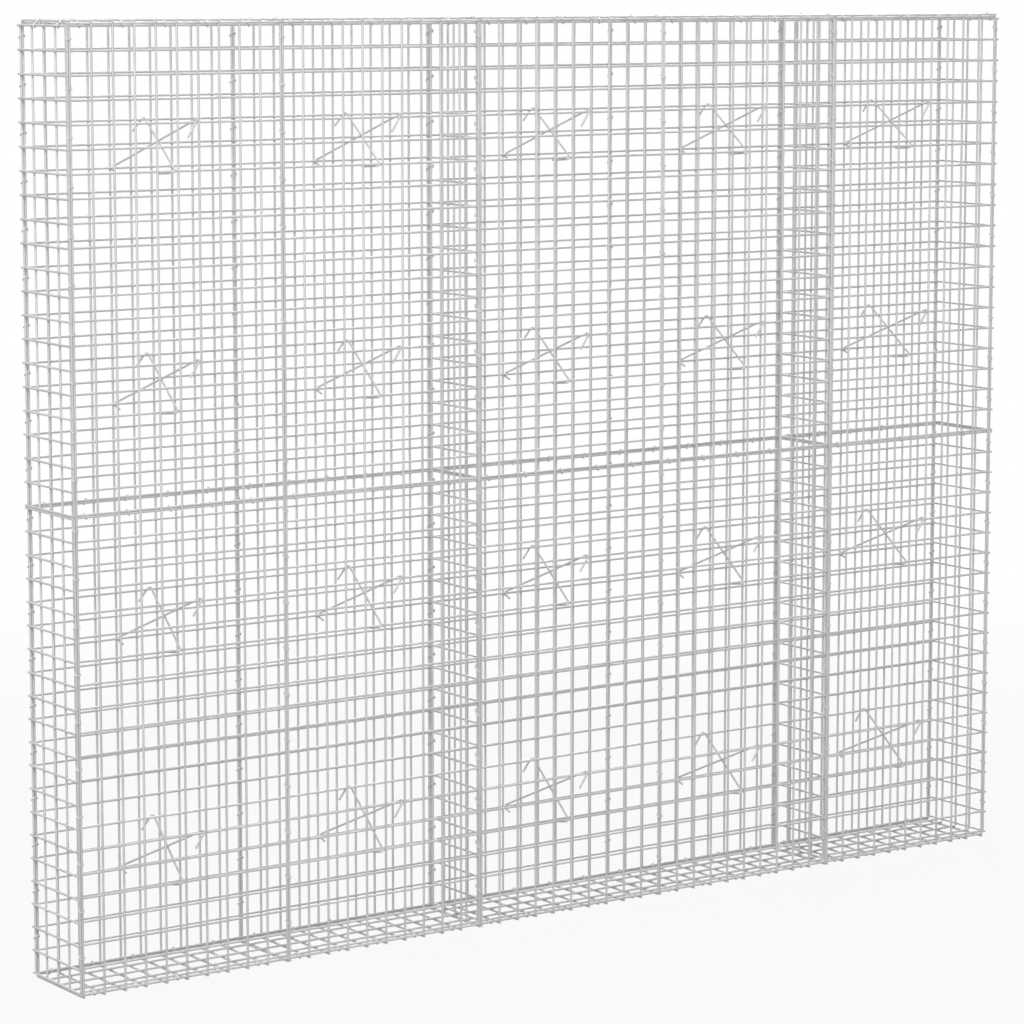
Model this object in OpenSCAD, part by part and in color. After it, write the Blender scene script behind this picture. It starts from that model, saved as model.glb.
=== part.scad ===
// Welded wire gabion basket: a tall, narrow cage of galvanised mesh panels,
// bound edge to edge with wire rings and kept in shape by crossed tie wires.
// Millimetres. X runs along the basket, Y through it, Z up from the ground.
// The origin lies on the ground, under the middle of the basket.

/* [Mesh] */
// Spacing of the wires in a panel, centre to centre
mesh = 50; // [40:1:80]
// Diameter of the mesh wires, over the corners
wire_d = 5; // [4:0.5:6]
// Clearance between two panels that lie edge to edge
panel_gap = 0.2; // [0.1:0.1:1]
// Clearance between crossing wires inside the frame of a panel
weld_gap = 0.1; // [0.05:0.05:0.2]
// How far each edge wire of a panel is sunk into the wires that it frames
weld_sink = 0.6; // [0.5:0.1:1]

/* [Basket] */
// Cells along one wall panel
bay_cells = 10; // [6:2:14]
// Wall panels along the basket
bays = 5; // [2:1:6]
// Cells up one wall panel
tier_cells = 20; // [10:10:30]
// Cells through the basket
depth_cells = 4; // [4:1:8]
// A divider stands at every so many seams
divider_step = 2; // [1:1:3]

/* [Binding rings] */
// Wire of the binding rings
ring_wire_d = 3; // [2:0.5:4]
// Clearance between a ring and the wires inside it
ring_clearance = 0.3; // [0.2:0.1:1]
// Cells from one ring to the next along a seam
ring_step = 2; // [1:1:4]
// How far a ring leans along its seam, degrees
ring_lean = 25; // [0:5:30]
// Mouth left between the ends of a ring, degrees
ring_mouth = 30; // [10:5:60]

/* [Tie wires] */
// Diameter of the tie wires
tie_d = 4; // [3:0.5:5]
// Cells from one pair of ties to the next, up the basket
tie_step = 10; // [10:10:10]
// Clearance between a hook and the mesh wire that it goes around
hook_clearance = 0.5; // [0.4:0.1:1]
// How far a hook turns back, degrees
hook_turn = 130; // [120:5:170]
// Straight tail after a hook
hook_tail = 36; // [10:1:40]
// Shorter tail at the back of the slanting tie
short_tail = 18; // [10:1:40]
// Where the slanting tie meets the walls, from the middle of its bay, in cells
tie_foot_share = 0.86; // [0.8:0.02:0.86]
// Where the steep tie meets the back wall, from the middle of its bay, in cells
steep_head_share = 0.57; // [0.4:0.01:0.7]
// Where the steep tie meets the front wall, from the middle of its bay, in cells
steep_foot_share = 0.22; // [0.2:0.01:0.3]

/* [Hidden] */
// Sides of a straight wire, and of a bent ring
bar_sides = 6;
round_sides = 24;
tier_names = ["lower", "upper"];
half_cell_share = 0.5;
// Straight steps around a hook
hook_steps = 5;
// Directions in which the tails of the slanting and the steep tie hang
tail_down = [-0.5, 0, -0.9];
tail_aside = [-1, 0, -0.8];

wire_r = wire_d / 2;
wire_flat = wire_r * cos(180 / bar_sides);
layer = wire_d + weld_gap;
pair = wire_d + panel_gap;

panel_w = bay_cells * mesh;
panel_pitch = panel_w + pair;
tier_h = tier_cells * mesh;
tier_pitch = tier_h + pair;
tiers = len(tier_names);
depth = depth_cells * mesh;
basket_l = bays * panel_pitch - pair;

x_start = -basket_l / 2;
x_end = x_start - pair;
y_front = -depth / 2;
base_z = wire_flat;
wall_z = base_z + layer + pair;
wall_top_z = wall_z + (tiers - 1) * tier_pitch + tier_h;
lid_z = wall_top_z + pair + layer;

divider_inset = layer + pair;
divider_half = depth / 2 - divider_inset;
divider_pitch = 2 * divider_half / depth_cells;

ring_grip = wire_r + ring_clearance + ring_wire_d / 2;
edge_step = layer + pair - weld_sink;
pair_ring_r = (pair + weld_sink) / 2 + ring_grip;
level_ring_r = (pair / 2 + ring_grip) / cos(ring_lean);
ledge_ring_r = (norm([layer, pair]) / 2 + ring_grip) / cos(ring_lean);
corner_ring_r = norm([edge_step, edge_step]) / 2 + ring_grip;
divider_ring_r = norm([pair / 2, divider_inset / 2 - weld_sink]) + ring_grip;

hook_r = wire_r + hook_clearance + tie_d / 2;

function panel_x(bay) = x_start + (bay - 1) * panel_pitch;
function seam_x(seam) = x_start + seam * panel_pitch - pair / 2;
function tier_z(tier) = wall_z + tier * tier_pitch;
function is_divided(seam) = seam > 0 && seam < bays && seam % divider_step == 0;
function unit(v) = v / norm(v);

divided_seams = [for (seam = [1 : bays - 1]) if (is_divided(seam)) seam];
bay_ring_cells = [half_cell_share : ring_step : bay_cells];
tier_ring_cells = [half_cell_share : ring_step : tier_cells];
depth_ring_cells = [half_cell_share : ring_step : depth_cells];

// One straight mesh wire along +Z, with a ridge towards either side in Y.
module wire(length) {
    rotate([0, 0, 90])
        cylinder(h = length, r = wire_r, $fn = bar_sides);
}

// A flat welded mesh. Its uprights stand in the plane y = 0 and its level wires lie behind them.
// The edge wires are sunk into all the wires that they cross, which makes the panel one solid.
module mesh_panel(cells_wide, cells_high, pitch = mesh, upright_turn = 0) {
    for (i = [0 : cells_wide]) {
        sink = i == 0 || i == cells_wide ? weld_sink : 0;
        translate([i * pitch, sink, -wire_r])
            rotate([0, 0, upright_turn])
                wire(cells_high * mesh + wire_d);
    }
    for (k = [0 : cells_high]) {
        sink = k == 0 || k == cells_high ? weld_sink : 0;
        translate([-wire_r, layer - sink, k * mesh])
            rotate([0, 90, 0])
                wire(cells_wide * pitch + wire_d);
    }
}

// Walls: the uprights are outermost, so the level wires lie inside the basket.
module front_panel(bay, tier) {
    color("silver")
        translate([panel_x(bay), y_front, tier_z(tier)])
            mesh_panel(bay_cells, tier_cells);
}

module back_panel(bay, tier) {
    mirror([0, 1, 0])
        front_panel(bay, tier);
}

// Ends: they stand past the walls, with the level wires outermost.
module left_end(tier) {
    color("silver")
        translate([x_end, y_front, tier_z(tier)])
            rotate([0, 0, 90])
                mesh_panel(depth_cells, tier_cells);
}

module right_end(tier) {
    mirror([1, 0, 0])
        left_end(tier);
}

// Dividers: narrower panels that stand between the walls, at a seam.
module divider(seam, tier) {
    color("silver")
        translate([seam_x(seam), divider_half, tier_z(tier)])
            rotate([0, 0, -90])
                mesh_panel(depth_cells, tier_cells, divider_pitch);
}

// Base: its cross wires lie lowest, turned so that each rests on a flat.
module base_panel(bay) {
    color("silver")
        translate([panel_x(bay), -y_front, base_z])
            rotate([90, 0, 0])
                mesh_panel(bay_cells, depth_cells, mesh, 180 / bar_sides);
}

// Lid: its cross wires lie uppermost.
module lid_panel(bay) {
    color("silver")
        translate([panel_x(bay), y_front, lid_z])
            rotate([-90, 0, 0])
                mesh_panel(bay_cells, depth_cells);
}

// A binding ring around the Z axis, with its mouth towards +Y.
module ring(radius) {
    rotate([0, 0, 90 + ring_mouth / 2])
        rotate_extrude(angle = 360 - ring_mouth, $fn = round_sides)
            translate([radius, 0])
                circle(d = ring_wire_d, $fn = round_sides);
}

// Rings up the seams of the front wall and its two corners.
module front_seam_rings() {
    color("gainsboro")
        for (tier = [0 : tiers - 1], cell = tier_ring_cells, seam = [0 : bays]) {
            divided = is_divided(seam);
            reach = divided ? divider_inset / 2 : weld_sink / 2;
            translate([seam_x(seam), y_front + reach, tier_z(tier) + tier_h - cell * mesh])
                rotate([divided ? 0 : ring_lean, 0, 0])
                    ring(divided ? divider_ring_r : pair_ring_r);
        }
}

module back_seam_rings() {
    mirror([0, 1, 0])
        front_seam_rings();
}

// A ring around wires that run along X, leaning along them.
module level_ring(radius) {
    rotate([0, 90 - ring_lean, 0])
        ring(radius);
}

// Rings where the upper panels stand on the lower ones, on one wall.
module wall_middle_rings() {
    for (bay = [1 : bays], cell = bay_ring_cells)
        translate([panel_x(bay) + cell * mesh, y_front + layer - weld_sink, tier_z(1) - pair / 2])
            level_ring(level_ring_r);
}

module middle_rings() {
    color("gainsboro") {
        wall_middle_rings();
        mirror([0, 1, 0])
            wall_middle_rings();
    }
}

// Rings along one long edge of the lid or the base, around two wires at a slant.
module ledge_rings(outer_z, inner_z) {
    for (bay = [1 : bays], cell = bay_ring_cells)
        translate([panel_x(bay) + cell * mesh, y_front + (layer - weld_sink) / 2, (outer_z + inner_z) / 2])
            level_ring(ledge_ring_r);
}

// Rings that hold the end of the lid to an end panel.
module lid_end_rings() {
    for (cell = depth_ring_cells)
        translate([x_start - edge_step / 2, y_front + cell * mesh, wall_top_z + edge_step / 2])
            rotate([90, 0, 0])
                ring(corner_ring_r);
}

// Rings that hold two lid panels together.
module lid_seam_rings(seam) {
    for (cell = depth_ring_cells)
        translate([seam_x(seam), y_front + cell * mesh, lid_z - weld_sink])
            rotate([90 - ring_lean, 0, 0])
                ring(pair_ring_r);
}

module lid_rings() {
    color("gainsboro") {
        for (side = [0, 1])
            mirror([0, side, 0])
                ledge_rings(lid_z - layer + weld_sink, wall_top_z);
        for (side = [0, 1])
            mirror([side, 0, 0])
                lid_end_rings();
        for (seam = [1 : bays - 1])
            lid_seam_rings(seam);
    }
}

module base_rings() {
    color("gainsboro")
        for (side = [0, 1])
            mirror([0, side, 0])
                ledge_rings(base_z + layer - weld_sink, wall_z);
}

// Points along one side of the hook at the far end of a tie: around the bend, then out along the tail.
function hook_side(radius, tail) = concat(
    [for (i = [0 : hook_steps]) bend_point(radius, 90 - hook_turn * i / hook_steps)],
    [bend_point(radius, 90 - hook_turn) + tail * [cos(hook_turn), -sin(hook_turn)]]
);
function bend_point(radius, angle) = [radius * cos(angle), radius * sin(angle) - hook_r];
function moved(points, distance) = [for (p = points) p + [distance, 0]];
function turned_about(points) = [for (i = [len(points) - 1 : -1 : 0]) points[i]];
function flipped(points) = [for (p = points) [-p.x, p.y]];

// A tie from one mesh wire to another, bent from one length. Its hooks go around the points
// start and finish, and both tails lie on the side that the vector tail_side points to.
module tie(start, finish, tail_side, start_tail = hook_tail) {
    along = unit(finish - start);
    up = unit((tail_side * along) * along - tail_side);
    across = cross(along, up);
    corner = start + hook_r * up;
    length = norm(finish - start);
    outer_r = hook_r + tie_d / 2;
    inner_r = hook_r - tie_d / 2;
    outline = concat(
        turned_about(flipped(hook_side(outer_r, start_tail))),
        moved(hook_side(outer_r, hook_tail), length),
        turned_about(moved(hook_side(inner_r, hook_tail), length)),
        flipped(hook_side(inner_r, start_tail))
    );
    multmatrix([
        [along.x, up.x, across.x, corner.x],
        [along.y, up.y, across.y, corner.y],
        [along.z, up.z, across.z, corner.z]
    ])
        linear_extrude(height = tie_d, center = true)
            polygon(outline);
}

// Two ties that cross in the middle of a bay: one rises towards the front, the other towards the back.
module tie_pair(centre) {
    wall_y = depth / 2 - layer;
    tie(
        centre + [-tie_foot_share * mesh, wall_y, -mesh],
        centre + [tie_foot_share * mesh, -wall_y, mesh],
        tail_down,
        short_tail
    );
    tie(
        centre + [steep_head_share * mesh, wall_y, mesh],
        centre + [-steep_foot_share * mesh, -wall_y, -mesh],
        tail_aside
    );
}

// The ties of one tier, two rows of them.
module tie_wires(tier) {
    color("silver")
        for (bay = [1 : bays], row = [1 : tier_cells / tie_step])
            tie_pair([panel_x(bay) + panel_w / 2, 0, tier_z(tier) + (row - half_cell_share) * tie_step * mesh]);
}

function tier_nodes(stem) = [for (name = tier_names) str(stem, "_", name)];
function bay_nodes(stem) = [for (bay = [1 : bays]) str(stem, "_", bay)];
function wall_nodes(stem) = [for (name = bay_nodes(stem)) each tier_nodes(name)];
function divider_stem(i) = str("divider_", i + 1);

for (bay = [1 : bays]) {
    for (tier = [0 : tiers - 1]) {
        front_panel(bay, tier);
        back_panel(bay, tier);
    }
    base_panel(bay);
    lid_panel(bay);
}
for (tier = [0 : tiers - 1]) {
    left_end(tier);
    right_end(tier);
    for (i = [0 : len(divided_seams) - 1])
        divider(divided_seams[i], tier);
    tie_wires(tier);
}
front_seam_rings();
back_seam_rings();
middle_rings();
lid_rings();
base_rings();
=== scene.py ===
"""Looks of an empty gabion basket.

Round galvanised wires, welded where they cross, stand for the plain bars of the solid panels.
One-turn wire rings bind the seams, and hooked tie wires cross the inside. Sizes are in metres,
in the frame of the solid model: X along the basket, Y through it, Z up from the ground.
"""

import logging
import math
from dataclasses import dataclass, field
from enum import Enum
from typing import Any

import bpy
from mathutils import Matrix, Vector

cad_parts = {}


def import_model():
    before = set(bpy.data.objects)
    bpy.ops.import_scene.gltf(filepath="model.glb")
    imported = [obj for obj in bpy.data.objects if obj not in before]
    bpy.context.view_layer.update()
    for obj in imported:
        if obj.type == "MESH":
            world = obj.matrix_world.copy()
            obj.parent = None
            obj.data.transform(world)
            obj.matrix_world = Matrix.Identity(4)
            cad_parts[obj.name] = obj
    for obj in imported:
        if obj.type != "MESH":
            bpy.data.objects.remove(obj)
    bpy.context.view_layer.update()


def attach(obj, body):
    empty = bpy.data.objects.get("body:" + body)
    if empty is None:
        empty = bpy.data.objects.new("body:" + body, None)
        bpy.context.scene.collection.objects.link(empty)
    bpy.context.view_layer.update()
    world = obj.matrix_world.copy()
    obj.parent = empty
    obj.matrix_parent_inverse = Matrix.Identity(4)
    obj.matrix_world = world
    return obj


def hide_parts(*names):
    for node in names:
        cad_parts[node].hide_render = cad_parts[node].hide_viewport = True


LOG = logging.getLogger("gabion_basket")
MM = 0.001
QUARTER_TURN = math.pi / 2
EIGHTH_TURN = math.pi / 4
NO_TURN = (0.0, 0.0, 0.0)
WHITE = (1.0, 1.0, 1.0)

# Turns of a binding ring, from one that lies level around uprights of the front wall.
AS_MADE = Matrix.Identity(3)
TO_BACK = Matrix.Rotation(math.pi, 3, "Z")
SIDEWAYS = Matrix.Rotation(QUARTER_TURN, 3, "Z")
ALONG_BASKET = Matrix.Rotation(-QUARTER_TURN, 3, "Y")
THROUGH_BASKET = Matrix.Rotation(-QUARTER_TURN, 3, "X")

Socket = bpy.types.NodeSocket
Triple = tuple[float, float, float]
Range = tuple[float, float]
Seat = tuple[Vector, Matrix]


class Slot(Enum):
    """Names of the material slots."""

    MESH_WIRE = "mesh_wire"
    RING_WIRE = "ring_wire"
    TIE_WIRE = "tie_wire"


class Mark(Enum):
    """Attributes that points and wires carry for the trees and the materials."""

    TURN = "turn"
    OWN_TONE = "wire_seed"
    ALONG = "wire_along"
    WELD = "weld"


class Tier(Enum):
    """The two rows of wall panels, with their place from the ground up."""

    LOWER = 0
    UPPER = 1

    @property
    def word(self) -> str:
        """The tier's word in a node's name."""
        return self.name.lower()


class PanelTurn(Enum):
    """Turns of a panel about X, Y and Z for its place in the basket."""

    FRONT = (0.0, 0.0, 0.0)
    BACK = (0.0, 0.0, math.pi)
    LEFT_END = (0.0, 0.0, QUARTER_TURN)
    RIGHT_END = (0.0, 0.0, -QUARTER_TURN)
    BASE = (QUARTER_TURN, 0.0, 0.0)
    LID = (-QUARTER_TURN, 0.0, 0.0)


class Tree:
    """Adds and links the nodes of one node tree."""

    def __init__(self, tree: bpy.types.NodeTree) -> None:
        """Keeps the tree.

        Args:
            tree: A geometry tree, shader tree or node group to build.
        """
        self.tree = tree

    def add(self, kind: str, inputs: dict[Any, Any] | None = None, **settings: Any) -> bpy.types.Node:
        """Adds a node.

        Args:
            kind: The node's type name.
            inputs: A value, or a socket to link from, for each input by name or number.
            settings: The node's own settings.

        Returns:
            The new node.
        """
        node = self.tree.nodes.new(kind)
        for name, value in settings.items():
            setattr(node, name, value)
        for key, value in (inputs or {}).items():
            if isinstance(value, Socket):
                self.tree.links.new(value, node.inputs[key])
            else:
                node.inputs[key].default_value = value
        return node

    def result(self, kind: str, inputs: dict[Any, Any] | None = None, **settings: Any) -> Socket:
        """Adds a node as add does and returns its first output."""
        return self.add(kind, inputs, **settings).outputs[0]

    def math(self, operation: str, first: Any, second: Any = 0.0) -> Socket:
        """Adds a math node and returns its result."""
        return self.result("ShaderNodeMath", {0: first, 1: second}, operation=operation)

    def plus(self, first: Any, second: Any) -> Socket:
        """Adds a node for the sum of two values."""
        return self.math("ADD", first, second)

    def times(self, first: Any, second: Any) -> Socket:
        """Adds a node for the product of two values."""
        return self.math("MULTIPLY", first, second)

    def vector(self, x: Any = 0.0, y: Any = 0.0, z: Any = 0.0) -> Socket:
        """Combines three values to a vector and returns it."""
        return self.result("ShaderNodeCombineXYZ", {0: x, 1: y, 2: z})

    def map_range(self, value: Socket, source: Range, target: tuple[Any, Any] = (0.0, 1.0)) -> Socket:
        """Adds a node that maps one range of values to another.

        Args:
            value: The value to map.
            source: The range that it comes from.
            target: The range that it goes to, as numbers or sockets.

        Returns:
            The mapped value.
        """
        ends = {1: source[0], 2: source[1], 3: target[0], 4: target[1]}
        return self.result("ShaderNodeMapRange", {0: value} | ends)

    def mix_colours(self, share: Socket, first: Socket, second: Socket) -> Socket:
        """Mixes two colours by the share of the second."""
        return self.add("ShaderNodeMix", {0: share, 6: first, 7: second}, data_type="RGBA").outputs[2]

    def read(self, mark: Mark, output: str) -> Socket:
        """Reads an attribute of the surface."""
        return self.add("ShaderNodeAttribute", attribute_name=mark.value).outputs[output]

    def add_sockets(self, sockets: dict[str, str], in_out: str) -> None:
        """Gives the tree its outer sockets.

        Args:
            sockets: The socket type for each name.
            in_out: INPUT or OUTPUT.
        """
        for name, kind in sockets.items():
            self.tree.interface.new_socket(name=name, in_out=in_out, socket_type=kind)


class GeometryTool(Tree):
    """A geometry tree that turns one object's data into a finished mesh."""

    def __init__(self, name: str, inputs: dict[str, str]) -> None:
        """Makes the empty tree.

        Args:
            name: The tree's name.
            inputs: The socket type for each named input, after the geometry.
        """
        super().__init__(bpy.data.node_groups.new(name, "GeometryNodeTree"))
        self.add_sockets({"Geometry": "NodeSocketGeometry"} | inputs, "INPUT")
        self.add_sockets({"Geometry": "NodeSocketGeometry"}, "OUTPUT")
        self.given = self.add("NodeGroupInput").outputs

    def round_wire(self, path: Socket, radius: Socket, sides: int) -> Socket:
        """Adds the nodes that make a path a round wire with closed ends.

        Args:
            path: The curve along the middle of the wire.
            radius: The wire's radius.
            sides: How many flats make it round.

        Returns:
            The wire's mesh.
        """
        profile = self.result("GeometryNodeCurvePrimitiveCircle", {"Resolution": sides, "Radius": radius})
        inputs = {"Curve": path, "Profile Curve": profile, "Fill Caps": True}
        return self.result("GeometryNodeCurveToMesh", inputs)

    def store(self, geometry: Socket, mark: Mark, value: Any, kind: str, domain: str = "POINT") -> Socket:
        """Adds a node that stores an attribute.

        Args:
            geometry: What carries the attribute.
            mark: The attribute.
            value: Its value, as a number or a socket.
            kind: Its data type.
            domain: What has one value each, POINT or INSTANCE.

        Returns:
            The geometry with the attribute.
        """
        inputs = {"Geometry": geometry, "Name": mark.value, "Value": value}
        return self.result("GeometryNodeStoreNamedAttribute", inputs, data_type=kind, domain=domain)

    def tone_each(self, wires: Socket, seed: Any) -> Socket:
        """Adds the nodes that give each wire a tone of its own.

        Args:
            wires: The wires as instances.
            seed: The seed of the chance, as a number or a socket.

        Returns:
            The same instances with their tones.
        """
        tone = self.add("FunctionNodeRandomValue", {"Seed": seed}, data_type="FLOAT").outputs[1]
        return self.store(wires, Mark.OWN_TONE, tone, "FLOAT", "INSTANCE")

    def close(self, geometry: Socket) -> None:
        """Realizes the instances, gives them the material and links the output.

        Args:
            geometry: The finished shape.
        """
        real = self.result("GeometryNodeRealizeInstances", {"Geometry": geometry})
        smooth = self.result("GeometryNodeSetShadeSmooth", {"Geometry": real})
        dressing = {"Geometry": smooth, "Material": self.given["Material"]}
        self.add("NodeGroupOutput", {"Geometry": self.result("GeometryNodeSetMaterial", dressing)})

    def mesh(self, name: str, start: bpy.types.ID, values: dict[str, Any]) -> bpy.types.Mesh:
        """Runs the tree on one object and keeps the result as a plain mesh.

        Args:
            name: The name of the new mesh.
            start: The mesh or curve that the tree starts from.
            values: A value for each named input.

        Returns:
            The plain mesh.
        """
        carrier = bpy.data.objects.new(name, start)
        bpy.context.scene.collection.objects.link(carrier)
        modifier = carrier.modifiers.new("make", "NODES")
        modifier.node_group = self.tree
        for socket in self.tree.interface.items_tree:
            if socket.in_out == "INPUT" and socket.name in values:
                modifier[socket.identifier] = values[socket.name]
        graph = bpy.context.evaluated_depsgraph_get()
        made = bpy.data.meshes.new_from_object(carrier.evaluated_get(graph))
        made.name = name
        carrier.modifiers.remove(modifier)
        bpy.data.objects.remove(carrier)
        return made


def keep_piece(name: str, mesh: bpy.types.Mesh, node: str) -> None:
    """Makes a finished piece that stands for a solid node and moves with it.

    Args:
        name: The piece's name.
        mesh: Its finished mesh, in the frame of the solid model.
        node: The solid node that it stands for.
    """
    piece = bpy.data.objects.new(name, mesh)
    bpy.context.scene.collection.objects.link(piece)
    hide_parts(node)
    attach(piece, "root")
    LOG.info("%s: %d faces", name, len(mesh.polygons))


def opaque(colour: Triple) -> tuple[float, float, float, float]:
    """Gives a colour its alpha of one."""
    return (*colour, 1.0)


def empty_shader(owner: bpy.types.Material | bpy.types.World) -> Tree:
    """Empties the shader tree of a new material or world.

    Args:
        owner: The material or world.

    Returns:
        Its tree.
    """
    owner.use_nodes = True
    owner.node_tree.nodes.clear()
    return Tree(owner.node_tree)


@dataclass(frozen=True)
class ZincSurface:
    """The pattern of hot-dip zinc on wire: bloom, spangle, drawn lines and burnt welds."""

    bloom_detail: float = 4.0
    bloom_roughness: float = 0.6
    line_scale: Triple = (900.0, 900.0, 30.0)
    line_detail: float = 2.0
    line_spread: float = 50.0
    line_contrast: float = 0.3
    wire_contrast: float = 0.35
    tone_range: Range = (0.25, 0.75)
    scorch_range: Range = (0.3, 0.7)
    wear_range: Range = (0.2, 0.8)
    line_share_of_wear: float = 0.5
    line_share_of_height: float = 0.6

    @staticmethod
    def swing(tree: Tree, tone: Socket, value: Socket, contrast: Any) -> Socket:
        """Moves a tone up and down by a value's distance from its middle."""
        return tree.plus(tone, tree.times(tree.math("SUBTRACT", value, 0.5), contrast))

    @staticmethod
    def blend(tree: Tree, first: Socket, second: Socket, share: float) -> Socket:
        """Blends two values by the share of the first."""
        return tree.plus(tree.times(first, share), tree.times(second, 1.0 - share))

    def drawn_lines(self, tree: Tree, own: Socket) -> Socket:
        """Adds the fine lines that drawing leaves along a wire.

        Args:
            tree: The group's tree.
            own: The wire's own tone, which keeps its lines apart from those of other wires.

        Returns:
            The lines as a value.
        """
        along = tree.read(Mark.ALONG, "Vector")
        scaling = {0: along, 1: self.line_scale}
        stretched = tree.result("ShaderNodeVectorMath", scaling, operation="MULTIPLY")
        apart = tree.vector(z=tree.times(own, self.line_spread))
        moved = tree.result("ShaderNodeVectorMath", {0: stretched, 1: apart}, operation="ADD")
        noise = {"Vector": moved, "Scale": 1.0, "Detail": self.line_detail}
        return tree.result("ShaderNodeTexNoise", noise)

    def group(self) -> bpy.types.NodeTree:
        """Builds the shader group that the zinc finishes share.

        Returns:
            The node group, with the colour, roughness and height that change over the surface.
        """
        tree = Tree(bpy.data.node_groups.new("zinc_surface", "ShaderNodeTree"))
        colours = ("Light Zinc", "Dark Zinc", "Burnt Zinc")
        values = ("Bloom Size", "Spangle Size", "Spangle Contrast", "Smoothest", "Roughest")
        tree.add_sockets(dict.fromkeys(colours, "NodeSocketColor"), "INPUT")
        tree.add_sockets(dict.fromkeys(values, "NodeSocketFloat"), "INPUT")
        tree.add_sockets({"Colour": "NodeSocketColor"}, "OUTPUT")
        tree.add_sockets({"Roughness": "NodeSocketFloat", "Height": "NodeSocketFloat"}, "OUTPUT")
        given = tree.add("NodeGroupInput").outputs
        place = tree.add("ShaderNodeTexCoord").outputs["Object"]
        own = tree.read(Mark.OWN_TONE, "Fac")

        bloom = tree.result(
            "ShaderNodeTexNoise",
            {
                "Vector": place,
                "Scale": tree.math("DIVIDE", 1.0, given["Bloom Size"]),
                "Detail": self.bloom_detail,
                "Roughness": self.bloom_roughness,
            },
        )
        spangle = tree.add(
            "ShaderNodeTexVoronoi",
            {"Vector": place, "Scale": tree.math("DIVIDE", 1.0, given["Spangle Size"]), "Randomness": 1.0},
        ).outputs["Color"]
        facet = tree.result("ShaderNodeSeparateColor", {0: spangle})
        drawn = self.drawn_lines(tree, own)

        tone = self.swing(tree, bloom, facet, given["Spangle Contrast"])
        tone = self.swing(tree, tone, own, self.wire_contrast)
        tone = self.swing(tree, tone, drawn, self.line_contrast)
        spread = tree.map_range(tone, self.tone_range)
        zinc = tree.mix_colours(spread, given["Dark Zinc"], given["Light Zinc"])
        scorch = tree.times(tree.read(Mark.WELD, "Fac"), tree.map_range(bloom, self.scorch_range))
        colour = tree.mix_colours(scorch, zinc, given["Burnt Zinc"])

        wear = self.blend(tree, drawn, facet, self.line_share_of_wear)
        roughness = tree.map_range(wear, self.wear_range, (given["Smoothest"], given["Roughest"]))
        height = self.blend(tree, drawn, facet, self.line_share_of_height)
        tree.add("NodeGroupOutput", {"Colour": colour, "Roughness": roughness, "Height": height})
        return tree.tree


@dataclass(frozen=True)
class Galvanised:
    """A zinc-coated wire finish."""

    name: str
    light: Triple = (0.64, 0.64, 0.64)
    dark: Triple = (0.52, 0.52, 0.52)
    burnt: Triple = (0.4, 0.395, 0.385)
    bloom_size: float = 60 * MM
    spangle_size: float = 2.5 * MM
    spangle_contrast: float = 0.12
    smoothest: float = 0.42
    roughest: float = 0.56
    metallic: float = 0.2
    relief: float = 0.06 * MM
    relief_strength: float = 0.5

    def material(self, surface: bpy.types.NodeTree) -> bpy.types.Material:
        """Builds the material.

        Args:
            surface: The shared zinc shader group.

        Returns:
            The finished material.
        """
        material = bpy.data.materials.new(self.name)
        tree = empty_shader(material)
        zinc = tree.add(
            "ShaderNodeGroup",
            {
                "Light Zinc": opaque(self.light),
                "Dark Zinc": opaque(self.dark),
                "Burnt Zinc": opaque(self.burnt),
                "Bloom Size": self.bloom_size,
                "Spangle Size": self.spangle_size,
                "Spangle Contrast": self.spangle_contrast,
                "Smoothest": self.smoothest,
                "Roughest": self.roughest,
            },
            node_tree=surface,
        ).outputs
        bump = tree.result(
            "ShaderNodeBump",
            {"Height": zinc["Height"], "Strength": self.relief_strength, "Distance": self.relief},
        )
        shader = tree.result(
            "ShaderNodeBsdfPrincipled",
            {
                "Base Color": zinc["Colour"],
                "Roughness": zinc["Roughness"],
                "Metallic": self.metallic,
                "Normal": bump,
            },
        )
        tree.add("ShaderNodeOutputMaterial", {"Surface": shader})
        return material


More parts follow.
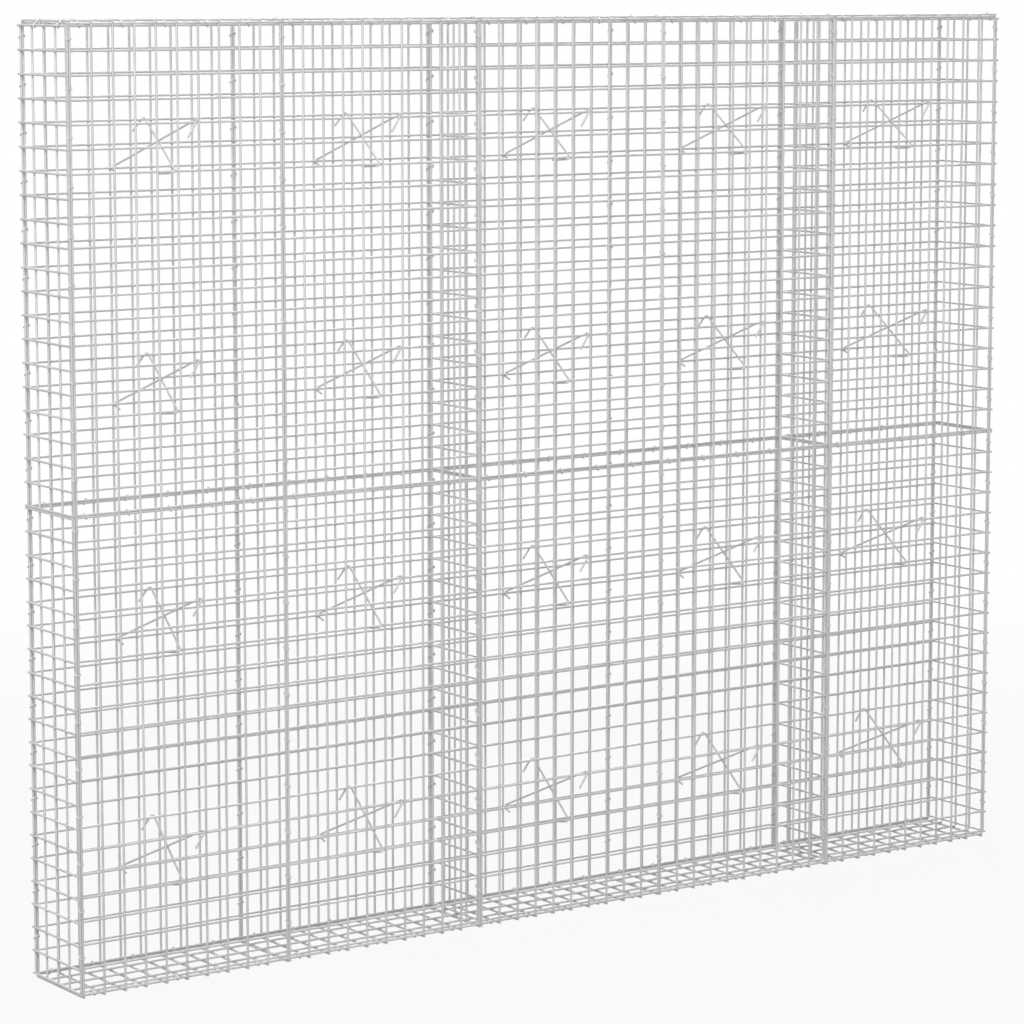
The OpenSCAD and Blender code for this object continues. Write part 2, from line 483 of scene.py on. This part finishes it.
@dataclass(frozen=True)
class Basket:
    """Sizes that the whole basket shares, and the places that follow from them."""

    mesh: float = 50 * MM
    wire_d: float = 5 * MM
    panel_gap: float = 0.2 * MM
    weld_gap: float = 0.1 * MM
    bay_cells: int = 10
    bays: int = 5
    tier_cells: int = 20
    depth_cells: int = 4
    divided_seams: tuple[int, ...] = (2, 4)

    @property
    def wire_r(self) -> float:
        """Radius of a mesh wire."""
        return self.wire_d / 2

    @property
    def layer(self) -> float:
        """From the uprights of a panel to its level wires, centre to centre."""
        return self.wire_d + self.weld_gap

    @property
    def pair(self) -> float:
        """Between the twin wires of a seam, centre to centre."""
        return self.wire_d + self.panel_gap

    @property
    def panel_w(self) -> float:
        """Width of a wall panel between its edge uprights."""
        return self.bay_cells * self.mesh

    @property
    def tier_h(self) -> float:
        """Height of a wall panel between its edge wires."""
        return self.tier_cells * self.mesh

    @property
    def depth(self) -> float:
        """From the uprights of the front wall to those of the back wall."""
        return self.depth_cells * self.mesh

    @property
    def pitch(self) -> float:
        """From one wall panel to the next."""
        return self.panel_w + self.pair

    @property
    def x_start(self) -> float:
        """First upright of the front wall."""
        return -(self.bays * self.pitch - self.pair) / 2

    @property
    def x_end(self) -> float:
        """Uprights of the left end."""
        return self.x_start - self.pair

    @property
    def y_front(self) -> float:
        """Uprights of the front wall."""
        return -self.depth / 2

    @property
    def base_z(self) -> float:
        """Cross wires of the base, which lie on the ground."""
        return self.wire_r

    @property
    def wall_z(self) -> float:
        """Lowest level wire of the walls."""
        return self.base_z + self.layer + self.pair

    @property
    def wall_top_z(self) -> float:
        """Highest level wire of the walls."""
        return self.tier_z(Tier.UPPER) + self.tier_h

    @property
    def lid_z(self) -> float:
        """Cross wires of the lid."""
        return self.wall_top_z + self.pair + self.layer

    @property
    def divider_inset(self) -> float:
        """From the uprights of a wall to the first upright of a divider."""
        return self.layer + self.pair

    @property
    def bay_numbers(self) -> range:
        """The bays, counted from one."""
        return range(1, self.bays + 1)

    def panel_x(self, bay: int) -> float:
        """First upright of a bay, counted from one."""
        return self.x_start + (bay - 1) * self.pitch

    def seam_x(self, seam: int) -> float:
        """Middle of a seam, counted from the left corner."""
        return self.x_start + seam * self.pitch - self.pair / 2

    def tier_z(self, tier: Tier) -> float:
        """Lowest level wire of a tier."""
        return self.wall_z + tier.value * (self.tier_h + self.pair)


@dataclass
class MeshPanels:
    """All the flat welded panels: walls, ends, dividers, base and lid."""

    basket: Basket
    finish: bpy.types.Material
    wire_sides: int = 12
    weld_radius: float = 3.4 * MM
    weld_flatness: float = 0.62
    weld_growth: Range = (0.8, 1.1)
    weld_segments: int = 8
    weld_rings: int = 4
    stray: float = 0.35 * MM
    seed_step: int = 11
    upright_shuffle: float = 0.0
    level_shuffle: float = 1.0
    tone_shuffle: float = 7.0
    tool: GeometryTool = field(init=False)
    count: int = field(default=0, init=False)

    def __post_init__(self) -> None:
        """Builds the geometry tree of a welded panel."""
        counts = ("Columns", "Rows", "Seed")
        sizes = ("Column Step", "Row Step", "Wire Radius", "Layer", "Weld Radius", "Stray")
        self.tool = GeometryTool(
            "welded_panel",
            dict.fromkeys(counts, "NodeSocketInt")
            | dict.fromkeys(sizes, "NodeSocketFloat")
            | {"Place": "NodeSocketVector", "Turn": "NodeSocketRotation", "Material": "NodeSocketMaterial"},
        )
        tool, given = self.tool, self.tool.given
        width = tool.times(given["Columns"], given["Column Step"])
        height = tool.times(given["Rows"], given["Row Step"])
        uprights = self.wires(
            span=height,
            count=given["Columns"],
            step=tool.vector(x=given["Column Step"]),
            start=tool.vector(),
            turn=NO_TURN,
            shuffle=self.upright_shuffle,
        )
        levels = self.wires(
            span=width,
            count=given["Rows"],
            step=tool.vector(z=given["Row Step"]),
            start=tool.vector(y=given["Layer"]),
            turn=(0.0, QUARTER_TURN, 0.0),
            shuffle=self.level_shuffle,
        )
        joined = tool.add("GeometryNodeJoinGeometry")
        for part in (uprights, levels, self.welds(width, height)):
            tool.tree.links.new(part, joined.inputs[0])
        placing = {"Geometry": joined.outputs[0], "Translation": given["Place"], "Rotation": given["Turn"]}
        tool.close(tool.result("GeometryNodeTransform", placing))

    def wires(
        self, span: Socket, count: Socket, step: Socket, start: Socket, turn: Triple, shuffle: float
    ) -> Socket:
        """Adds the nodes for one set of parallel wires.

        Args:
            span: Length between the outermost welds.
            count: Number of cells that the wires divide.
            step: From one wire to the next.
            start: The first wire's end.
            turn: How a standing wire is turned to lie along the set.
            shuffle: A number that keeps the chance of the two sets apart.

        Returns:
            The wires as instances.
        """
        tool, given = self.tool, self.tool.given
        radius = given["Wire Radius"]
        lower_end = tool.vector(z=tool.times(radius, -1.0))
        upper_end = tool.vector(z=tool.plus(span, radius))
        line = tool.result("GeometryNodeCurvePrimitiveLine", {"Start": lower_end, "End": upper_end})
        bar = tool.round_wire(line, radius, self.wire_sides)
        marked = tool.store(bar, Mark.ALONG, tool.result("GeometryNodeInputPosition"), "FLOAT_VECTOR")
        points = tool.result(
            "GeometryNodeMeshLine", {"Count": tool.plus(count, 1.0), "Start Location": start, "Offset": step}
        )
        seed = tool.plus(given["Seed"], shuffle)
        most = given["Stray"]
        least = tool.times(most, -1.0)
        stray = tool.result(
            "FunctionNodeRandomValue",
            {"Min": tool.vector(least, 0.0, least), "Max": tool.vector(most, 0.0, most), "Seed": seed},
            data_type="FLOAT_VECTOR",
        )
        strayed = tool.result("GeometryNodeSetPosition", {"Geometry": points, "Offset": stray})
        row = tool.result(
            "GeometryNodeInstanceOnPoints", {"Points": strayed, "Instance": marked, "Rotation": turn}
        )
        return tool.tone_each(row, tool.plus(seed, self.tone_shuffle))

    def welds(self, width: Socket, height: Socket) -> Socket:
        """Adds the nodes for the pressed welds where the wires cross.

        Args:
            width: Width of the panel between its edge uprights.
            height: Height of the panel between its edge wires.

        Returns:
            The welds as instances.
        """
        tool, given = self.tool, self.tool.given
        grid = tool.result(
            "GeometryNodeMeshGrid",
            {
                "Size X": width,
                "Size Y": height,
                "Vertices X": tool.plus(given["Columns"], 1.0),
                "Vertices Y": tool.plus(given["Rows"], 1.0),
            },
        )
        middle = tool.vector(*(tool.times(size, 0.5) for size in (width, given["Layer"], height)))
        stood = tool.result(
            "GeometryNodeTransform",
            {"Geometry": grid, "Translation": middle, "Rotation": (QUARTER_TURN, 0.0, 0.0)},
        )
        bead = tool.result(
            "GeometryNodeMeshUVSphere",
            {"Segments": self.weld_segments, "Rings": self.weld_rings, "Radius": given["Weld Radius"]},
        )
        flattened = (1.0, self.weld_flatness, 1.0)
        pressed = tool.result("GeometryNodeTransform", {"Geometry": bead, "Scale": flattened})
        marked = tool.store(pressed, Mark.WELD, 1.0, "FLOAT")
        smallest, largest = self.weld_growth
        grown = tool.add(
            "FunctionNodeRandomValue",
            {"Min": smallest, "Max": largest, "Seed": given["Seed"]},
            data_type="FLOAT",
        ).outputs[1]
        turned = tool.result(
            "FunctionNodeRandomValue",
            {"Min": NO_TURN, "Max": (0.0, math.tau, 0.0), "Seed": given["Seed"]},
            data_type="FLOAT_VECTOR",
        )
        return tool.result(
            "GeometryNodeInstanceOnPoints",
            {"Points": stood, "Instance": marked, "Rotation": turned, "Scale": grown},
        )

    def panel(
        self, node: str, cells: tuple[int, int], place: Triple, turn: PanelTurn, step: float | None = None
    ) -> None:
        """Builds one panel over its solid node.

        Args:
            node: The solid node that the panel stands for.
            cells: Cells across and cells up.
            place: Where the panel's first crossing goes.
            turn: How the panel is turned there.
            step: Spacing of the uprights, where it isn't the mesh's own.
        """
        self.count += 1
        columns, rows = cells
        values = {
            "Columns": columns,
            "Rows": rows,
            "Seed": self.count * self.seed_step,
            "Column Step": step or self.basket.mesh,
            "Row Step": self.basket.mesh,
            "Wire Radius": self.basket.wire_r,
            "Layer": self.basket.layer,
            "Weld Radius": self.weld_radius,
            "Stray": self.stray,
            "Place": place,
            "Turn": turn.value,
            "Material": self.finish,
        }
        name = f"{node}_wires"
        mesh = self.tool.mesh(name, bpy.data.meshes.new(f"{node}_start"), values)
        keep_piece(name, mesh, node)

    def walls(self, tier: Tier) -> None:
        """Builds the front and back panels of a tier.

        Args:
            tier: The row of panels.
        """
        b = self.basket
        cells = (b.bay_cells, b.tier_cells)
        z = b.tier_z(tier)
        for bay in b.bay_numbers:
            left = b.panel_x(bay)
            right = left + b.panel_w
            self.panel(f"front_panel_{bay}_{tier.word}", cells, (left, b.y_front, z), PanelTurn.FRONT)
            self.panel(f"back_panel_{bay}_{tier.word}", cells, (right, -b.y_front, z), PanelTurn.BACK)

    def ends_and_dividers(self, tier: Tier) -> None:
        """Builds the panels of a tier that stand across the basket.

        Args:
            tier: The row of panels.
        """
        b = self.basket
        cells = (b.depth_cells, b.tier_cells)
        z = b.tier_z(tier)
        self.panel(f"left_end_{tier.word}", cells, (b.x_end, b.y_front, z), PanelTurn.LEFT_END)
        self.panel(f"right_end_{tier.word}", cells, (-b.x_end, -b.y_front, z), PanelTurn.RIGHT_END)
        half = b.depth / 2 - b.divider_inset
        step = 2 * half / b.depth_cells
        for number, seam in enumerate(b.divided_seams, 1):
            place = (b.seam_x(seam), half, z)
            self.panel(f"divider_{number}_{tier.word}", cells, place, PanelTurn.RIGHT_END, step)

    def base_and_lid(self) -> None:
        """Builds the panels that lie flat."""
        b = self.basket
        cells = (b.bay_cells, b.depth_cells)
        for bay in b.bay_numbers:
            x = b.panel_x(bay)
            self.panel(f"base_panel_{bay}", cells, (x, -b.y_front, b.base_z), PanelTurn.BASE)
            self.panel(f"lid_panel_{bay}", cells, (x, b.y_front, b.lid_z), PanelTurn.LID)

    def build(self) -> None:
        """Builds every panel of the basket."""
        for tier in Tier:
            self.walls(tier)
            self.ends_and_dividers(tier)
        self.base_and_lid()


@dataclass(frozen=True)
class RingKind:
    """The shape of one kind of binding ring, seen along its seam.

    The ring goes around wires that lie side by side along its own X. Its ends lap on its own +Y side.
    """

    spread: float
    radius: float
    lean_across: float = 0.0
    lean_through: float = 0.0


@dataclass
class BindingRings:
    """One-turn wire rings that hold the panels together."""

    basket: Basket
    finish: bpy.types.Material
    wire_r: float = 1.3 * MM
    clearance: float = 0.2 * MM
    turns: float = 1.12
    coil_points: int = 10
    wire_sides: int = 5
    tone_seed: int = 5
    cells: int = 2
    level_slope: float = math.tan(math.radians(25))
    upright_slope: float = math.tan(math.radians(42))
    tool: GeometryTool = field(init=False)

    def __post_init__(self) -> None:
        """Builds the geometry tree that puts a ring on each point."""
        sizes = ("Spread", "Radius", "Wire Radius", "Turns", "Lean Across", "Lean Through")
        self.tool = GeometryTool(
            "binding_rings", dict.fromkeys(sizes, "NodeSocketFloat") | {"Material": "NodeSocketMaterial"}
        )
        tool, given = self.tool, self.tool.given
        coil = tool.result(
            "GeometryNodeCurveSpiral",
            {
                "Resolution": self.coil_points,
                "Rotations": given["Turns"],
                "Start Radius": given["Radius"],
                "End Radius": given["Radius"],
                "Height": tool.times(given["Wire Radius"], 2.0),
            },
        )
        lap_turn = (0.0, 0.0, QUARTER_TURN)
        lapped = tool.result("GeometryNodeTransform", {"Geometry": coil, "Rotation": lap_turn})
        position = tool.result("GeometryNodeInputPosition")
        across, through, _ = tool.add("ShaderNodeSeparateXYZ", {0: position}).outputs
        side = tool.times(tool.math("SIGN", across), given["Spread"])
        rise = tool.plus(
            tool.times(tool.plus(across, side), given["Lean Across"]),
            tool.times(through, given["Lean Through"]),
        )
        bend = tool.vector(side, 0.0, rise)
        shaped = tool.result("GeometryNodeSetPosition", {"Geometry": lapped, "Offset": bend})
        ring = tool.round_wire(shaped, given["Wire Radius"], self.wire_sides)
        turn = tool.result(
            "GeometryNodeInputNamedAttribute", {"Name": Mark.TURN.value}, data_type="FLOAT_VECTOR"
        )
        rotation = tool.result("FunctionNodeEulerToRotation", {0: turn})
        rings = tool.result(
            "GeometryNodeInstanceOnPoints",
            {"Points": given["Geometry"], "Instance": ring, "Rotation": rotation},
        )
        tool.close(tool.tone_each(rings, self.tone_seed))

    @property
    def hold(self) -> float:
        """Radius of a ring where it goes around one wire, to the middle of its own wire."""
        return self.basket.wire_r + self.clearance + self.wire_r

    @property
    def twin(self) -> RingKind:
        """A ring around two wires side by side, which leans toward one end of its seam."""
        return RingKind(self.basket.pair / 2, self.hold, lean_through=self.upright_slope)

    @property
    def slanted(self) -> RingKind:
        """A ring around the edge wire of a wall and that of the lid or the base."""
        spread = math.hypot(self.basket.layer, self.basket.pair) / 2
        return RingKind(spread, self.hold, lean_across=self.level_slope)

    def steps(self, cells: int) -> list[float]:
        """From a panel's first wire to the middles of the cells that have a ring."""
        return [(cell + 0.5) * self.basket.mesh for cell in range(0, cells, self.cells)]

    def bay_places(self) -> list[float]:
        """Where the rings lie along the basket's long edges."""
        b = self.basket
        return [b.panel_x(bay) + step for bay in b.bay_numbers for step in self.steps(b.bay_cells)]

    def depth_places(self) -> list[float]:
        """Where the rings lie across the lid."""
        return [self.basket.y_front + step for step in self.steps(self.basket.depth_cells)]

    def tier_places(self) -> list[float]:
        """Heights of the rings on the upright seams, counted down from the top of each tier."""
        b = self.basket
        return [b.tier_z(tier) + b.tier_h - step for tier in Tier for step in self.steps(b.tier_cells)]

    def along_walls(self, y: float, z: float, tilt: Matrix) -> list[Seat]:
        """Finds the rings along the front wall and the back wall.

        Args:
            y: Where the rings of the front wall lie through the basket.
            z: Their height.
            tilt: How the rings of the front wall are tilted about their seam.

        Returns:
            Each ring's middle and its turn.
        """
        front = [(Vector((x, y, z)), tilt @ ALONG_BASKET) for x in self.bay_places()]
        back = [(Vector((x, -y, z)), TO_BACK @ tilt @ ALONG_BASKET) for x in self.bay_places()]
        return front + back

    def bind(self, name: str, node: str, kind: RingKind, seats: list[Seat]) -> None:
        """Makes rings of one kind and keeps them as one piece.

        Args:
            name: The piece's name.
            node: The solid node that it stands for.
            kind: The shape of the rings.
            seats: Each ring's middle and its turn.
        """
        points = bpy.data.meshes.new(f"{name}_points")
        points.from_pydata([tuple(place) for place, _ in seats], [], [])
        turns = points.attributes.new(Mark.TURN.value, "FLOAT_VECTOR", "POINT")
        for item, (_, matrix) in zip(turns.data, seats):
            item.vector = matrix.to_euler()
        values = {
            "Spread": kind.spread,
            "Radius": kind.radius,
            "Wire Radius": self.wire_r,
            "Turns": self.turns,
            "Lean Across": kind.lean_across,
            "Lean Through": kind.lean_through,
            "Material": self.finish,
        }
        keep_piece(name, self.tool.mesh(name, points, values), node)

    def upright_seams(self) -> None:
        """Builds the rings of the upright seams in the front wall and the back wall."""
        b = self.basket
        spread = b.divider_inset / 2 - b.pair / 2
        triple = RingKind(spread, self.hold + b.pair / 2, lean_across=self.upright_slope)
        plain_seams = [seam for seam in range(b.bays + 1) if seam not in b.divided_seams]
        heights = self.tier_places()
        for word, sign, face in (("front", 1, AS_MADE), ("back", -1, TO_BACK)):
            node = f"{word}_seam_rings"
            y = sign * b.y_front
            twins = [(Vector((b.seam_x(seam), y, z)), face) for seam in plain_seams for z in heights]
            self.bind(f"{word}_twin_rings", node, self.twin, twins)
            y = sign * (b.y_front + b.divider_inset / 2)
            turn = face @ SIDEWAYS
            triples = [(Vector((b.seam_x(seam), y, z)), turn) for seam in b.divided_seams for z in heights]
            self.bind(f"{word}_divider_rings", node, triple, triples)

    def middle_seam(self) -> None:
        """Builds the rings between the two tiers."""
        b = self.basket
        level = RingKind(b.pair / 2, self.hold, lean_across=self.level_slope)
        seats = self.along_walls(b.y_front + b.layer, b.tier_z(Tier.UPPER) - b.pair / 2, AS_MADE)
        self.bind("middle_seam_rings", "middle_rings", level, seats)

    def lid_seams(self) -> None:
        """Builds the rings along the lid's edges, across the lid and at its ends."""
        b = self.basket
        tilt = Matrix.Rotation(EIGHTH_TURN, 3, "X")
        edges = self.along_walls(b.y_front + b.layer / 2, b.wall_top_z + b.pair / 2, tilt)
        self.bind("lid_edge_rings", "lid_rings", self.slanted, edges)
        middles = [b.seam_x(seam) for seam in range(1, b.bays)]
        seams = [(Vector((x, y, b.lid_z)), THROUGH_BASKET) for x in middles for y in self.depth_places()]
        self.bind("lid_seam_rings", "lid_rings", self.twin, seams)
        corner = RingKind(math.hypot(b.divider_inset, b.divider_inset) / 2, self.hold)
        end_x = b.x_start - b.divider_inset / 2
        end_z = b.wall_top_z + b.divider_inset / 2
        ends = []
        for x, angle in ((end_x, -EIGHTH_TURN), (-end_x, EIGHTH_TURN)):
            turn = Matrix.Rotation(angle, 3, "Y") @ THROUGH_BASKET
            ends += [(Vector((x, y, end_z)), turn) for y in self.depth_places()]
        self.bind("lid_end_rings", "lid_rings", corner, ends)

    def base_seams(self) -> None:
        """Builds the rings along the edges of the base."""
        b = self.basket
        tilt = Matrix.Rotation(-EIGHTH_TURN, 3, "X")
        edges = self.along_walls(b.y_front + b.layer / 2, b.base_z + b.layer + b.pair / 2, tilt)
        self.bind("base_edge_rings", "base_rings", self.slanted, edges)

    def build(self) -> None:
        """Builds the rings of every seam."""
        self.upright_seams()
        self.middle_seam()
        self.lid_seams()
        self.base_seams()


@dataclass
class TieWires:
    """Crossed pairs of hooked wires that hold the two walls together."""

    basket: Basket
    finish: bpy.types.Material
    wire_r: float = 2.25 * MM
    wire_sides: int = 10
    bend_points: int = 10
    hook_clearance: float = 0.5 * MM
    hook_turn: float = math.radians(130)
    tail: float = 36 * MM
    short_tail: float = 18 * MM
    row_cells: int = 10
    slanting_foot_share: float = 0.86
    steep_head_share: float = 0.57
    steep_foot_share: float = 0.22
    tail_down: Triple = (-0.5, 0.0, -0.9)
    tail_aside: Triple = (-1.0, 0.0, -0.8)
    tool: GeometryTool = field(init=False)

    def __post_init__(self) -> None:
        """Builds the geometry tree that bends the corners of a path and makes it a wire."""
        self.tool = GeometryTool(
            "bent_wire",
            dict.fromkeys(("Bend Radius", "Wire Radius"), "NodeSocketFloat")
            | {"Material": "NodeSocketMaterial"},
        )
        tool, given = self.tool, self.tool.given
        bent = tool.result(
            "GeometryNodeFilletCurve",
            {"Curve": given["Geometry"], "Radius": given["Bend Radius"], "Count": self.bend_points},
            mode="POLY",
        )
        tool.close(tool.round_wire(bent, given["Wire Radius"], self.wire_sides))

    @property
    def bend_r(self) -> float:
        """Radius of a hook, to the middle of its wire."""
        return self.basket.wire_r + self.hook_clearance + self.wire_r

    def path(self, start: Vector, finish: Vector, tail_side: Vector, start_tail: float) -> list[Vector]:
        """Finds the corners of one tie.

        Args:
            start: The point on the back wall that a hook goes around.
            finish: The point on the front wall that a hook goes around.
            tail_side: The side on which both tails lie.
            start_tail: Length of the tail at the back wall.

        Returns:
            Tail end, corner, corner and tail end, for a path whose corners are then bent.
        """
        along = (finish - start).normalized()
        up = (tail_side.dot(along) * along - tail_side).normalized()
        reach = self.bend_r * math.tan(self.hook_turn / 2)
        first = start + self.bend_r * up - reach * along
        last = finish + self.bend_r * up + reach * along
        back = math.cos(self.hook_turn) * along - math.sin(self.hook_turn) * up
        fore = -math.cos(self.hook_turn) * along - math.sin(self.hook_turn) * up
        return [first + (reach + start_tail) * fore, first, last, last + (reach + self.tail) * back]

    def pair(self, centre: Vector) -> list[list[Vector]]:
        """Finds the two ties that cross at one place.

        Args:
            centre: The middle of the area that the pair holds.

        Returns:
            The corners of the slanting tie and of the steep tie.
        """
        m = self.basket.mesh
        wall = self.basket.depth / 2 - self.basket.layer
        slanting = self.path(
            centre + Vector((-self.slanting_foot_share * m, wall, -m)),
            centre + Vector((self.slanting_foot_share * m, -wall, m)),
            Vector(self.tail_down),
            self.short_tail,
        )
        steep = self.path(
            centre + Vector((self.steep_head_share * m, wall, m)),
            centre + Vector((-self.steep_foot_share * m, -wall, -m)),
            Vector(self.tail_aside),
            self.tail,
        )
        return [slanting, steep]

    def paths(self, tier: Tier) -> bpy.types.Curve:
        """Draws the paths of all the ties in a tier.

        Args:
            tier: The row of panels.

        Returns:
            A curve with one line of corners for each tie.
        """
        b = self.basket
        curve = bpy.data.curves.new(f"tie_paths_{tier.word}", "CURVE")
        curve.dimensions = "3D"
        heights = [
            b.tier_z(tier) + (row + 0.5) * self.row_cells * b.mesh
            for row in range(b.tier_cells // self.row_cells)
        ]
        middles = [b.panel_x(bay) + b.panel_w / 2 for bay in b.bay_numbers]
        ties = [tie for x in middles for z in heights for tie in self.pair(Vector((x, 0.0, z)))]
        for corners in ties:
            spline = curve.splines.new("POLY")
            spline.points.add(len(corners) - 1)
            for point, corner in zip(spline.points, corners):
                point.co = (*corner, 1.0)
        return curve

    def build(self) -> None:
        """Builds the ties of both tiers."""
        values = {"Bend Radius": self.bend_r, "Wire Radius": self.wire_r, "Material": self.finish}
        for tier in Tier:
            node = f"tie_wires_{tier.word}"
            name = f"hooked_{node}"
            keep_piece(name, self.tool.mesh(name, self.paths(tier), values), node)


@dataclass(frozen=True)
class Lamp:
    """A large square lamp that points at the middle of the basket."""

    name: str
    place: Triple
    power: float
    size: float = 4.8
    shadow: bool = True
    aim: Triple = (0.0, 0.0, 1.0)

    def hang(self) -> None:
        """Adds the lamp to the scene."""
        data = bpy.data.lights.new(self.name, "AREA")
        data.size = self.size
        data.energy = self.power
        data.use_shadow = self.shadow
        lamp = bpy.data.objects.new(self.name, data)
        lamp.location = self.place
        lamp.rotation_euler = (Vector(self.aim) - Vector(self.place)).to_track_quat("-Z", "Y").to_euler()
        bpy.context.scene.collection.objects.link(lamp)


@dataclass(frozen=True)
class Studio:
    """Camera, floor and soft light around the basket."""

    camera_place: Triple = (-4.7986, -6.6602, 2.1087)
    camera_yaw: float = math.radians(35.23)
    camera_pitch: float = math.radians(7.19)
    lens: float = 128.08
    shift_y: float = -0.07
    clip_end: float = 200.0
    floor_size: float = 60.0
    floor_colour: Triple = (0.25, 0.25, 0.25)
    floor_glow: float = 0.93
    shadow_reach: float = 2.0
    white_reach: float = 5.0
    sky_fill: float = 0.16
    lamps: tuple[Lamp, ...] = (
        Lamp("over_front", (-6.2, -9.2, 6.5), 960.0),
        Lamp("through_front", (-6.2, -9.2, 6.5), 230.0, shadow=False),
        Lamp("over_back", (6.2, 9.2, 6.5), 800.0),
        Lamp("overhead", (0.0, 0.0, 9.0), 360.0, size=6.0),
        Lamp("left_side", (-9.0, 1.0, 4.0), 180.0),
    )

    def camera(self) -> None:
        """Makes the camera at the photograph's viewing angle."""
        data = bpy.data.cameras.new("camera")
        data.lens = self.lens
        data.shift_y = self.shift_y
        data.clip_end = self.clip_end
        camera = bpy.data.objects.new("camera", data)
        camera.location = self.camera_place
        camera.rotation_euler = (QUARTER_TURN - self.camera_pitch, 0.0, -self.camera_yaw)
        bpy.context.scene.collection.objects.link(camera)
        bpy.context.scene.camera = camera

    @staticmethod
    def seen_directly(tree: Tree, share: Any) -> Socket:
        """Adds a mask for rays that show the background as white.

        Args:
            tree: The material or world tree.
            share: How much of the white shows, as a number or a socket.

        Returns:
            The mask.
        """
        rays = tree.add("ShaderNodeLightPath").outputs
        seen = tree.math("MAXIMUM", rays["Is Camera Ray"], rays["Is Glossy Ray"])
        seen = tree.math("MAXIMUM", seen, rays["Is Transmission Ray"])
        return tree.times(seen, share)

    def floor_paint(self) -> bpy.types.Material:
        """Builds the floor's material, which turns white away from the basket.

        Returns:
            The finished material.
        """
        material = bpy.data.materials.new("pale_floor")
        tree = empty_shader(material)
        paint = tree.result("ShaderNodeBsdfDiffuse", {"Color": opaque(self.floor_colour)})
        glow = tree.result("ShaderNodeEmission", {"Color": opaque(WHITE), "Strength": 1.0})
        place = tree.add("ShaderNodeTexCoord").outputs["Object"]
        away = tree.add("ShaderNodeVectorMath", {0: place}, operation="LENGTH").outputs["Value"]
        share = tree.map_range(away, (self.shadow_reach, self.white_reach), (self.floor_glow, 1.0))
        mask = self.seen_directly(tree, share)
        mixed = tree.result("ShaderNodeMixShader", {0: mask, 1: paint, 2: glow})
        tree.add("ShaderNodeOutputMaterial", {"Surface": mixed})
        return material

    def floor(self) -> None:
        """Makes the pale floor, which keeps a soft shadow."""
        half = self.floor_size / 2
        corners = [(-half, -half, 0.0), (half, -half, 0.0), (half, half, 0.0), (-half, half, 0.0)]
        mesh = bpy.data.meshes.new("floor")
        mesh.from_pydata(corners, [], [tuple(range(len(corners)))])
        mesh.materials.append(self.floor_paint())
        floor = bpy.data.objects.new("floor", mesh)
        bpy.context.scene.collection.objects.link(floor)

    def sky(self) -> None:
        """Makes the white surroundings."""
        world = bpy.data.worlds.new("white_room")
        tree = empty_shader(world)
        fill = tree.result("ShaderNodeBackground", {"Color": opaque(WHITE), "Strength": self.sky_fill})
        white = tree.result("ShaderNodeBackground", {"Color": opaque(WHITE), "Strength": 1.0})
        mask = self.seen_directly(tree, 1.0)
        mixed = tree.result("ShaderNodeMixShader", {0: mask, 1: fill, 2: white})
        tree.add("ShaderNodeOutputWorld", {"Surface": mixed})
        bpy.context.scene.world = world

    def light(self) -> None:
        """Hangs the lamps."""
        for lamp in self.lamps:
            lamp.hang()


def main() -> None:
    """Builds the scene in order: camera, basket, studio."""
    logging.basicConfig(level=logging.INFO, format="%(message)s")
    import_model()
    bpy.context.scene.view_settings.view_transform = "Standard"

    studio = Studio()
    studio.camera()
    surface = ZincSurface().group()
    mesh_zinc = Galvanised("galvanised_mesh_wire").material(surface)
    # The ring wire's zinc is painted lighter than the mesh wire's. This painted light offsets the shade that
    # falls on the rings between the twin wires of the seams.
    ring_zinc_painted_lighter = Galvanised(
        "galvanised_ring_wire", light=(0.72, 0.72, 0.72), dark=(0.61, 0.61, 0.61), bloom_size=30 * MM
    ).material(surface)
    tie_zinc = Galvanised("galvanised_tie_wire", bloom_size=40 * MM).material(surface)

    basket = Basket()
    MeshPanels(basket, mesh_zinc).build()
    BindingRings(basket, ring_zinc_painted_lighter).build()
    TieWires(basket, tie_zinc).build()

    studio.floor()
    studio.sky()
    studio.light()


if __name__ == "__main__":
    main()
